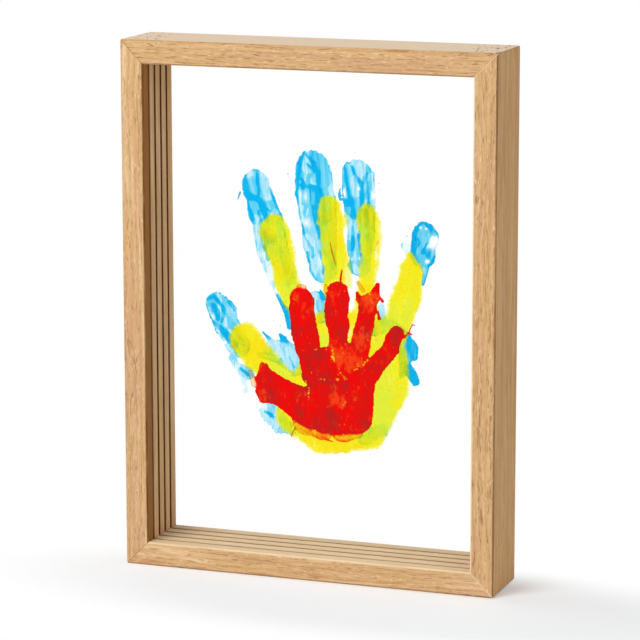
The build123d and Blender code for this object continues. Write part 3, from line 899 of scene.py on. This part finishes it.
yellow_cell = 0.52 * mm
yellow_body = (247, 238, 34)
yellow_lemon = (222, 242, 76)
yellow_warm = (255, 226, 6)
yellow_pale = (255, 247, 175)
yellow_film_thin = (255, 254, 236)
yellow_film_thick = (252, 248, 112)
yellow_grain_size = (1.6 * mm, 5 * mm)
yellow_patch_size = (8 * mm, 1.0, 15 * mm)

yellow_paint, tree, shader = new_material("yellow_paint", Roughness=0.5, IOR=1.4,
                                          Specular_IOR_Level=0.04)
rim, load, grain, place = paint_fields(tree, yellow_grain_size, 12.0)
patches = mottle(tree, place, yellow_patch_size, 11.0, detail=4.0, rough=0.6).outputs[0]
load = calc(tree, "ADD", load, calc(tree, "MULTIPLY_ADD", grain, 0.5, -0.25))
warm_share = add(tree, "ShaderNodeAttribute", attribute_name="hue").outputs["Fac"]
hue = calc(tree, "ADD", warm_share, calc(tree, "MULTIPLY_ADD", patches, -3.0, 1.5))
paint = tint(tree, ease(tree, hue, -0.45, 0.05, 1.0, 0.0), yellow_body, yellow_lemon)
paint = tint(tree, ease(tree, hue, 0.10, 0.45, 0.0, 1.0), paint, yellow_warm)
thin_edge = ease(tree, rim, 0.0, 2.6 * mm, 1.0, 0.0)
paint = tint(tree, product(tree, thin_edge, ease(tree, patches, 0.4, 0.6)), paint, yellow_pale)
feather = product(tree, calc(tree, "MULTIPLY_ADD", grain, 6.5 * mm, -1.2 * mm),
                  ease(tree, warm_share, 0.3, 0.8, 1.0, 0.35))
feather = ease(tree, calc(tree, "DIVIDE", rim, feather), 0.0, 1.0)
opacity = product(tree, ease(tree, load, 0.1, 1.15, 0.08, 0.50), feather)
coloured = product(tree, feather, ease(tree, load, 0.1, 0.6, 0.4, 1.0))
filtered = tint(tree, coloured, yellow_film_thin, yellow_film_thick)
paint_output(tree, shader, paint, opacity, filtered, calc(tree, "ADD", grain, patches))

across, up = places(yellow_heel, yellow_length, yellow_cell)
gap, girth, coat, streaks = hand_field(across, up, yellow_heel, yellow_length, yellow_limbs, yellow_palm,
                                       web=0.8 * mm, streak_size=(2.2 * mm, 20 * mm), seed=51)
gap = ragged(across, up, gap, girth, seed=71, wave=(1.8 * mm, 8 * mm), nick=(0.7 * mm, 1.8 * mm))
gap = gap - 0.6 * mm
load = np.minimum(coat, 0.8) + 0.25 * streaks + 0.5 * rough_cloud(across, up, 7 * mm, 10 * mm, 81)
load = load - spots(across, up, yellow_heel, yellow_length, yellow_thin)
hue = spots(across, up, yellow_heel, yellow_length, yellow_hues)
rim_place = np.clip(-gap, 0, None)
thickness = (0.1 + 0.18 * np.clip(load, 0, 1)) * mm
yellow_print = film("yellow_print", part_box("second_sheet")[0].y, across, up, gap, thickness,
                    {"rim": rim_place, "load": load, "hue": hue})
mount(yellow_print, yellow_paint, "yellow_paint", "second_layer", "yellow_handprint")
spatter("yellow_specks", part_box("second_sheet")[0].y, across, up, gap, reach=2.4 * mm, near=0.7 * mm,
        seed=5, density=16000.0, sizes=(0.10 * mm, 0.45 * mm), material=yellow_paint,
        slot="yellow_paint", body_name="second_layer")


# The blue print: a grown hand, on the front face of the third sheet. The fingers printed thin
# and streaky, with dark lines along their outlines. Of the palm only scraps and drops took.
blue_length = 176 * mm
blue_heel = (5 * mm, 79.9 * mm)
blue_limbs = (
    ((-0.405, 0.448, 0.044, 0.52), (-0.385, 0.422, 0.052, 0.50), (-0.368, 0.375, 0.047, 0.5),
     (-0.325, 0.308, 0.040, 0.6)),
    ((-0.262, 0.872, 0.049, 0.56), (-0.225, 0.76, 0.055, 0.54), (-0.192, 0.63, 0.058, 0.32),
     (-0.16, 0.54, 0.050, 0.26)),
    ((-0.055, 0.938, 0.059, 0.60), (-0.046, 0.85, 0.072, 0.54), (-0.032, 0.72, 0.064, 0.38),
     (-0.018, 0.60, 0.053, 0.36)),
    ((0.043, 0.872, 0.004, 1.0), (0.040, 0.852, 0.006, 1.0), (0.044, 0.835, 0.004, 1.0)),
    ((0.104, 0.915, 0.056, 0.46), (0.107, 0.86, 0.061, 0.54), (0.116, 0.75, 0.050, 0.56),
     (0.112, 0.62, 0.041, 0.5)),
    ((0.339, 0.731, 0.043, 0.80), (0.337, 0.665, 0.046, 0.76)),
    ((0.345, 0.62, 0.010, 0.6), (0.335, 0.565, 0.006, 0.5)),
    ((0.268, 0.69, 0.012, 0.20), (0.285, 0.675, 0.018, 0.22)),
    ((-0.186, 0.494, 0.004, 1.2), (-0.168, 0.468, 0.009, 1.2), (-0.150, 0.436, 0.012, 1.2),
     (-0.140, 0.388, 0.009, 1.2)),
    ((-0.028, 0.520, 0.004, 1.2), (-0.024, 0.500, 0.018, 1.2)),
    ((-0.045, 0.49, 0.030, 0.36), (-0.035, 0.44, 0.034, 0.40)),
    ((-0.173, 0.358, 0.006, 1.2), (-0.163, 0.345, 0.011, 1.2), (-0.148, 0.332, 0.005, 1.2)),
    ((-0.237, 0.364, 0.003, 1.1), (-0.215, 0.343, 0.006, 1.1)),
    ((-0.205, 0.312, 0.024, 0.34), (-0.155, 0.300, 0.036, 0.36), (-0.125, 0.280, 0.042, 0.36),
     (-0.118, 0.25, 0.03, 0.4)),
    ((-0.349, 0.265, 0.012, 0.6), (-0.340, 0.252, 0.012, 0.5)),
    ((-0.338, 0.240, 0.010, 0.30), (-0.318, 0.228, 0.020, 0.28), (-0.29, 0.215, 0.024, 0.36)),
    ((-0.318, 0.190, 0.014, 0.05), (-0.302, 0.160, 0.012, 0.04)),
    ((-0.228, 0.124, 0.020, 0.28), (-0.214, 0.088, 0.036, 0.34), (-0.178, 0.050, 0.034, 0.34),
     (-0.13, 0.028, 0.02, 0.3)),
    ((-0.190, 0.020, 0.006, 0.4), (-0.174, 0.035, 0.012, 0.4)),
    ((0.188, 0.480, 0.012, 0.20), (0.192, 0.445, 0.014, 0.24)),
    ((0.16, 0.40, 0.024, 0.5), (0.22, 0.42, 0.020, 0.34), (0.255, 0.40, 0.018, 0.4)),
    ((0.268, 0.385, 0.022, 0.9), (0.272, 0.34, 0.024, 0.9), (0.272, 0.29, 0.020, 0.6),
     (0.262, 0.25, 0.010, 0.4)),
    ((0.285, 0.378, 0.010, 1.1), (0.303, 0.345, 0.018, 1.3), (0.303, 0.318, 0.015, 1.3)),
    ((0.283, 0.345, 0.012, 0.8), (0.283, 0.305, 0.012, 0.5)),
    ((0.279, 0.285, 0.013, 1.1), (0.298, 0.255, 0.018, 1.3), (0.309, 0.234, 0.016, 1.3)),
    ((0.19, 0.055, 0.018, 0.4), (0.13, 0.025, 0.024, 0.5)),
    ((0.205, 0.045, 0.010, 0.30), (0.225, 0.075, 0.010, 0.28)),
    ((-0.325, 0.818, 0.002, 1.1), (-0.318, 0.840, 0.004, 1.1)),
    ((-0.215, 0.74, 0.024, 0.6), (-0.185, 0.65, 0.030, 0.6), (-0.165, 0.56, 0.026, 0.6)),
    ((-0.345, 0.385, 0.020, 0.7), (-0.328, 0.350, 0.020, 0.5)),
    ((-0.25, 0.285, 0.012, 0.5), (-0.19, 0.275, 0.014, 0.5), (-0.12, 0.235, 0.016, 0.5)),
)
blue_bare = ((0.372, 0.715, 0.018, 0.7), (0.352, 0.642, 0.009, 0.6), (0.325, 0.756, 0.005, 0.5),
             (0.346, 0.753, 0.004, 0.5), (0.345, 0.690, 0.008, 0.3), (0.058, 0.855, 0.014, 0.4),
             (-0.020, 0.620, 0.018, 0.3), (0.160, 0.855, 0.012, 0.4), (-0.085, 0.840, 0.022, 0.25),
             (-0.080, 0.750, 0.018, 0.25), (-0.270, 0.905, 0.014, 0.2), (-0.205, 0.715, 0.016, 0.3),
             (-0.230, 0.640, 0.020, 0.15), (-0.360, 0.430, 0.020, 0.12),
             (-0.425, 0.405, 0.007, 0.6), (-0.400, 0.352, 0.006, 0.6), (-0.375, 0.318, 0.006, 0.5),
             (0.108, 0.875, 0.006, 0.4), (0.360, 0.695, 0.012, 0.4))
blue_strokes = (
    ((-0.288, 0.922, 0.003), (-0.300, 0.895, 0.006), (-0.296, 0.845, 0.015),
     (-0.282, 0.826, 0.013)),
    ((-0.255, 0.908, 0.002), (-0.252, 0.870, 0.004), (-0.250, 0.835, 0.005)),
    ((-0.275, 0.832, 0.009), (-0.244, 0.815, 0.013), (-0.229, 0.773, 0.010),
     (-0.222, 0.745, 0.006)),
    ((-0.258, 0.806, 0.002), (-0.240, 0.744, 0.004)),
    ((-0.296, 0.826, 0.005), (-0.270, 0.752, 0.007), (-0.262, 0.735, 0.002)),
    ((-0.212, 0.862, 0.002), (-0.186, 0.804, 0.004), (-0.160, 0.750, 0.003)),
    ((-0.220, 0.790, 0.002), (-0.206, 0.781, 0.004)),
    ((-0.230, 0.660, 0.003), (-0.218, 0.618, 0.006)),
    ((-0.085, 0.990, 0.004), (-0.099, 0.962, 0.008), (-0.112, 0.912, 0.011),
     (-0.113, 0.868, 0.010)),
    ((-0.114, 0.868, 0.005), (-0.111, 0.816, 0.003), (-0.096, 0.754, 0.003), (-0.085, 0.702, 0.003),
     (-0.070, 0.679, 0.003)),
    ((-0.108, 0.882, 0.006), (-0.088, 0.869, 0.007)),
    ((-0.082, 0.984, 0.003), (-0.050, 0.951, 0.008), (-0.038, 0.922, 0.007),
     (-0.034, 0.885, 0.005)),
    ((-0.074, 0.950, 0.003), (-0.062, 0.938, 0.004), (-0.052, 0.950, 0.003)),
    ((-0.066, 0.872, 0.010), (-0.032, 0.868, 0.007)),
    ((-0.055, 0.862, 0.014), (-0.047, 0.829, 0.018), (-0.040, 0.758, 0.011),
     (-0.031, 0.700, 0.005)),
    ((0.012, 0.931, 0.002), (0.022, 0.890, 0.005), (0.026, 0.845, 0.004)),
    ((-0.008, 0.988, 0.002), (0.004, 0.962, 0.003)),
    ((-0.100, 0.900, 0.002), (-0.072, 0.868, 0.003)),
    ((-0.067, 0.672, 0.005), (-0.054, 0.658, 0.005), (-0.056, 0.633, 0.004),
     (-0.045, 0.646, 0.002)),
    ((-0.030, 0.654, 0.003), (-0.016, 0.594, 0.004), (-0.018, 0.578, 0.003)),
    ((-0.076, 0.651, 0.002), (-0.063, 0.584, 0.002), (-0.042, 0.557, 0.002)),
    ((0.060, 0.942, 0.004), (0.064, 0.905, 0.006), (0.073, 0.851, 0.008), (0.084, 0.824, 0.008)),
    ((0.086, 0.946, 0.003), (0.101, 0.912, 0.006), (0.117, 0.893, 0.010), (0.118, 0.847, 0.007),
     (0.116, 0.800, 0.004)),
    ((0.157, 0.948, 0.003), (0.166, 0.902, 0.004), (0.171, 0.847, 0.002)),
    ((0.137, 0.930, 0.002), (0.143, 0.880, 0.004), (0.142, 0.820, 0.006)),
    ((0.044, 0.873, 0.006), (0.046, 0.838, 0.006)),
    ((0.062, 0.826, 0.013), (0.078, 0.800, 0.017), (0.092, 0.780, 0.010)),
    ((0.086, 0.745, 0.004), (0.088, 0.690, 0.007), (0.082, 0.645, 0.005)),
    ((0.108, 0.720, 0.005), (0.116, 0.671, 0.006), (0.125, 0.630, 0.008)),
    ((0.078, 0.627, 0.003), (0.094, 0.560, 0.003)),
    ((-0.438, 0.468, 0.003), (-0.417, 0.476, 0.005), (-0.396, 0.460, 0.006), (-0.382, 0.436, 0.007),
     (-0.382, 0.406, 0.005), (-0.390, 0.386, 0.003)),
    ((-0.418, 0.448, 0.006), (-0.408, 0.425, 0.012), (-0.402, 0.400, 0.010)),
    ((-0.424, 0.394, 0.004), (-0.398, 0.372, 0.010), (-0.370, 0.346, 0.012),
     (-0.340, 0.316, 0.012)),
    ((-0.362, 0.462, 0.002), (-0.340, 0.432, 0.002)),
    ((0.314, 0.762, 0.010), (0.303, 0.730, 0.009), (0.300, 0.668, 0.007)),
    ((0.314, 0.762, 0.008), (0.334, 0.775, 0.008), (0.360, 0.776, 0.009), (0.382, 0.758, 0.007),
     (0.390, 0.730, 0.003)),
    ((0.392, 0.706, 0.002), (0.386, 0.662, 0.008), (0.366, 0.630, 0.011)),
    ((0.348, 0.704, 0.002), (0.334, 0.672, 0.005)),
    ((-0.140, 0.283, 0.002), (-0.124, 0.250, 0.004)),
    ((-0.318, 0.230, 0.003), (-0.292, 0.213, 0.006)),
    ((-0.232, 0.086, 0.003), (-0.214, 0.080, 0.005), (-0.196, 0.068, 0.005)),
    ((-0.030, 0.86, 0.010), (-0.010, 0.76, 0.010)),
    ((0.135, 0.80, 0.010), (0.142, 0.75, 0.012)),
)
blue_cell = 0.46 * mm
blue_pale = (198, 236, 250)
blue_mid = (104, 216, 243)
blue_body = (0, 184, 238)
blue_line = (0, 166, 234)
blue_film_thin = (248, 254, 255)
blue_film_thick = (132, 228, 252)
blue_grain_size = (0.8 * mm, 7 * mm)

blue_paint, tree, shader = new_material("blue_paint", Roughness=0.4, IOR=1.4, Specular_IOR_Level=0.04)
rim, load, grain = paint_fields(tree, blue_grain_size, 22.0)[:3]
load = calc(tree, "ADD", load, calc(tree, "MULTIPLY_ADD", grain, 0.36, -0.18))
paint = tint(tree, ease(tree, load, 0.18, 0.42), blue_pale, blue_mid)
paint = tint(tree, ease(tree, load, 0.44, 0.60), paint, blue_body)
paint = tint(tree, ease(tree, load, 0.85, 1.05), paint, blue_line)
opacity = ease(tree, load, 0.08, 0.58, 0.04, 0.82)
opacity = product(tree, opacity, ease(tree, rim, 0.0, 0.5 * mm, 0.35, 1.0))
filtered = tint(tree, ease(tree, load, 0.05, 0.5), blue_film_thin, blue_film_thick)
paint_output(tree, shader, paint, opacity, filtered, load)

across, up = places(blue_heel, blue_length, blue_cell)
gap, girth, coat, streaks = hand_field(across, up, blue_heel, blue_length, blue_limbs, (),
                                       web=0.6 * mm, streak_size=(2.0 * mm, 24 * mm), seed=91)
gap = ragged(across, up, gap, girth, seed=131, wave=(1.1 * mm, 8 * mm), nick=(0.4 * mm, 1.8 * mm))
hairs = rough_cloud(across, up, 1.2 * mm, 9 * mm, 133, layers=2)
gap = gap + 0.9 * mm * np.clip(girth / stout, 0, 1) * hairs
bend = 2.2 * mm * rough_cloud(across, up, 9 * mm, 9 * mm, 141)
patches = step_up(rough_cloud(across + bend, up - bend, 4.5 * mm, 10 * mm, 142, layers=2), -0.04, 0.06)
stroke_gap = stroke_field(across, up, blue_heel, blue_length, blue_strokes)
stroke_gap = stroke_gap + 0.7 * mm * rough_cloud(across, up, 2.2 * mm, 5 * mm, 143)
press = 0.8 + 0.6 * rough_cloud(across, up, 1.6 * mm, 7 * mm, 145)
strokes = step_up(-stroke_gap, -0.7 * mm, 0.6 * mm) * press
bare = spots(across, up, blue_heel, blue_length, blue_bare)
streaks = streaks * (0.4 + 0.6 * step_up(coat, 0.38, 0.5))
load = 0.58 * coat + 0.24 * streaks + 0.20 * (patches - 0.5) + 0.46 * strokes - bare
broken = step_up(rough_cloud(across, up, 7 * mm, 9 * mm, 144), -0.05, 0.2)
outline = np.exp(-((gap + 0.45 * mm) / (0.42 * mm)) ** 2) * broken * step_up(coat, 0.24, 0.5)
wash = 0.22 + 0.07 * rough_cloud(across, up, 3 * mm, 9 * mm, 146)
load = np.maximum(load, wash * step_up(coat, 0.24, 0.36) - 0.5 * bare)
load = np.maximum(load, 0.8 * outline)
print_gap = gap
gap = np.maximum(gap, (0.04 - load) * 6 * mm)
rim_place = np.clip(-gap, 0, None)
thickness = (0.08 + 0.18 * np.clip(load, 0, 1)) * mm
blue_print = film("blue_print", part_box("third_sheet")[0].y, across, up, gap, thickness,
                  {"rim": rim_place, "load": load})
mount(blue_print, blue_paint, "blue_paint", "third_layer", "blue_handprint")
spatter("blue_specks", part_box("third_sheet")[0].y, across, up, print_gap, reach=2.6 * mm,
        near=0.7 * mm, seed=7, density=90000.0, sizes=(0.10 * mm, 0.55 * mm), material=blue_paint,
        slot="blue_paint", body_name="third_layer")


# The floor and the light: a pale studio table that runs out to white, one large soft lamp above
# and to the left of the camera, a weak one on the right, and an even room light.
floor_radius = 9.0
floor_sides = 64
floor_colour = (0.90, 0.92, 0.94, 1.0)
floor_glow = 0.15
shade_centre = (0.062, -0.045, 0.0)
shade_reach = (0.25, 0.085, 1.0)
shade_start = 0.55
shade_end = 1.1
room_light = 0.46

table = bpy.data.meshes.new("studio_floor")
turns = [2 * math.pi * n / floor_sides for n in range(floor_sides)]
floor_edge = [(floor_radius * math.cos(turn), floor_radius * math.sin(turn), 0.0) for turn in turns]
table.from_pydata(floor_edge, [], [range(floor_sides)])
floor = bpy.data.objects.new("studio_floor", table)
bpy.context.scene.collection.objects.link(floor)
floor_finish, tree, shader = new_material("studio_floor", Base_Color=floor_colour, Roughness=0.9,
                                          Specular_IOR_Level=0.0)


def seen_directly(tree):
    """1 for the rays that show the background: from the camera, from gloss and through glass."""
    rays = add(tree, "ShaderNodeLightPath").outputs
    seen = calc(tree, "MAXIMUM", rays["Is Camera Ray"], rays["Is Glossy Ray"])
    return calc(tree, "MAXIMUM", seen, rays["Is Transmission Ray"])


place = add(tree, "ShaderNodeTexCoord").outputs["Object"]
offset = vector(tree, "DIVIDE", vector(tree, "SUBTRACT", place, shade_centre), shade_reach)
far = add(tree, "ShaderNodeVectorMath", {0: offset}, operation="LENGTH").outputs["Value"]
seen = seen_directly(tree)
open_floor = calc(tree, "MULTIPLY", seen, ease(tree, far, shade_start, shade_end))
glow = calc(tree, "MULTIPLY", seen, floor_glow)
lift = add(tree, "ShaderNodeEmission", {"Color": (1, 1, 1, 1), "Strength": glow})
lit = add(tree, "ShaderNodeAddShader", {0: shader.outputs[0], 1: lift.outputs[0]})
white = add(tree, "ShaderNodeEmission", {"Color": (1, 1, 1, 1), "Strength": 1.0})
shown = add(tree, "ShaderNodeMixShader", {0: open_floor, 1: lit.outputs[0], 2: white.outputs[0]})
tree.links.new(shown.outputs[0], tree.nodes["Material Output"].inputs[0])
table.materials.append(floor_finish)

world = bpy.data.worlds.new("studio")
bpy.context.scene.world = world
world.use_nodes = True
tree = world.node_tree
strength = calc(tree, "MULTIPLY_ADD", seen_directly(tree), 1.0 - room_light, room_light)
tree.links.new(strength, tree.nodes["Background"].inputs["Strength"])
tree.nodes["Background"].inputs["Color"].default_value = (1, 1, 1, 1)

lamps = {
    "key": ((-1.1, -1.9, 1.7), 1.6, 39.5),
    "fill": ((1.9, -1.3, 0.9), 1.4, 4.0),
}
for name, (place, size, power) in lamps.items():
    lamp = bpy.data.lights.new(name, "AREA")
    lamp.shape = "DISK"
    lamp.size = size
    lamp.energy = power
    stand = bpy.data.objects.new(name, lamp)
    bpy.context.scene.collection.objects.link(stand)
    stand.location = place
    stand.rotation_euler = (outline_middle - Vector(place)).to_track_quat("-Z", "Y").to_euler()


# The camera stands a little to the right of the frame's front and looks slightly down on it.
camera_azimuth = math.radians(19.91)
camera_elevation = math.radians(11.07)
camera_roll = math.radians(-0.066)
camera_distance = 1.8536
camera_target = Vector((9.1 * mm, -22.5 * mm, 159.1 * mm))

lens = bpy.data.cameras.new("camera")
lens.sensor_width = 36.0
lens.lens = 177.83
lens.clip_start = 0.05
lens.clip_end = 60.0
camera = bpy.data.objects.new("camera", lens)
bpy.context.scene.collection.objects.link(camera)
back = Vector((math.sin(camera_azimuth) * math.cos(camera_elevation),
               -math.cos(camera_azimuth) * math.cos(camera_elevation), math.sin(camera_elevation)))
right = (-back).cross(Vector((0, 0, 1))).normalized()
upward = right.cross(-back)
rolled_right = right * math.cos(camera_roll) + upward * math.sin(camera_roll)
rolled_up = upward * math.cos(camera_roll) - right * math.sin(camera_roll)
turn = Matrix((rolled_right, rolled_up, back)).transposed().to_4x4()
camera.matrix_world = Matrix.Translation(camera_target + back * camera_distance) @ turn
bpy.context.scene.camera = camera
bpy.context.scene.view_settings.view_transform = "Standard"
bpy.context.scene.cycles.transparent_max_bounces = 32
